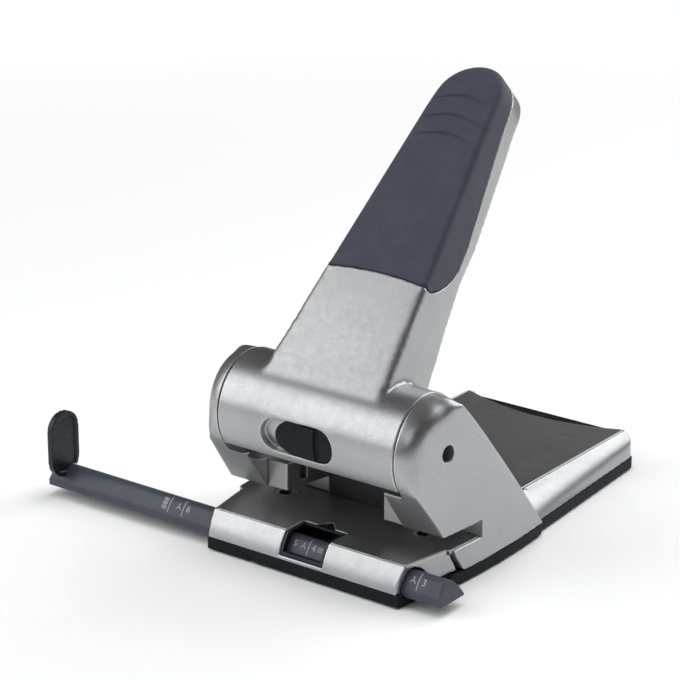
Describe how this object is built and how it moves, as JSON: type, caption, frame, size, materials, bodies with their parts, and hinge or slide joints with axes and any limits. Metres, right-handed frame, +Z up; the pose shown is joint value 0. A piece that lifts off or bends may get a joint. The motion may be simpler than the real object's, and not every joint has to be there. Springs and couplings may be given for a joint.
{
  "type": "heavy-duty two-hole punch",
  "caption": "Heavy-duty two-hole paper punch with a long gripped lever on a round barrel, a sliding paper guide with a stop flag and a chip drawer.",
  "frame": {"origin": "on the surface the punch stands on, straight below the lever's pivot and midway between the two pins", "axes": "+X along the barrel to the right, +Y to the rear, +Z up"},
  "size_m": [0.2343, 0.2091, 0.2118],
  "materials": {
    "silver_paint": "fine metallic paint, satin",
    "graphite_paint": "dark grey metallic paint, satin",
    "zinc_casting": "bare casting, satin",
    "black_plastic": "moulded, matt",
    "slate_plastic": "moulded, satin",
    "soft_grip": "soft-touch, matt",
    "gloss_plastic": "moulded, glossy",
    "steel": "ground",
    "anti_slip": "matt"
  },
  "bodies": {
    "root": {"base_shell": "silver_paint", "deck_plate": "graphite_paint", "base_tray": "black_plastic", "cheek_right": "silver_paint", "cheek_left": "silver_paint", "guide_block_right": "zinc_casting", "guide_block_left": "zinc_casting", "return_spring_right": "steel", "return_spring_left": "steel", "die_right": "steel", "die_left": "steel", "bearing_bush_right": "black_plastic", "bearing_bush_left": "black_plastic", "chip_chute_right": "black_plastic", "chip_chute_left": "black_plastic", "pivot_shaft": "steel", "index_frame": "gloss_plastic", "rail_brake": "steel", "paper_stop": "graphite_paint", "back_cover": "black_plastic", "grip_strip_front": "anti_slip", "grip_strip_rear": "anti_slip", "base_screw_front_right": "steel", "base_screw_front_left": "steel", "base_screw_rear_right": "steel", "base_screw_rear_left": "steel"},
    "lever": {"lever_shell": "silver_paint", "grip_pad": "soft_grip", "pressure_cam_right": "steel", "pressure_cam_left": "steel"},
    "lock_slider": {"lock_slider": "black_plastic"},
    "punch_pin_right": {"punch_pin_right": "steel"},
    "punch_pin_left": {"punch_pin_left": "steel"},
    "rail": {"guide_rail": "slate_plastic", "stop_flag": "gloss_plastic"},
    "chip_drawer": {"chip_drawer": "black_plastic"}
  },
  "joints": [
    {"name": "lever_hinge", "type": "hinge", "parent": "root", "child": "lever", "pos_m": [0, 0, 0.0675], "axis": [-1, 0, 0], "range_deg": [0, 44], "stiffness_Nm_per_rad": 0.4, "springref_deg": -68.75},
    {"name": "punch_pin_right_slide", "type": "slide", "parent": "root", "child": "punch_pin_right", "axis": [0, 0, -1], "range_m": [0, 0.0102], "deforming": ["return_spring_right"]},
    {"name": "punch_pin_left_slide", "type": "slide", "parent": "root", "child": "punch_pin_left", "axis": [0, 0, -1], "range_m": [0, 0.0102], "deforming": ["return_spring_left"]},
    {"name": "lock_slide", "type": "slide", "parent": "lever", "child": "lock_slider", "axis": [1, 0, 0], "range_m": [-0.0073, 0]},
    {"name": "rail_slide", "type": "slide", "parent": "root", "child": "rail", "axis": [1, 0, 0], "range_m": [-0.065, 0.078]},
    {"name": "drawer_slide", "type": "slide", "parent": "root", "child": "chip_drawer", "axis": [0, 1, 0], "range_m": [0, 0.15]}
  ],
  "couplings": [
    {"joint": "punch_pin_right_slide", "follows": "lever_hinge", "m_per_rad": 0.01327},
    {"joint": "punch_pin_left_slide", "follows": "lever_hinge", "m_per_rad": 0.01327}
  ]
}
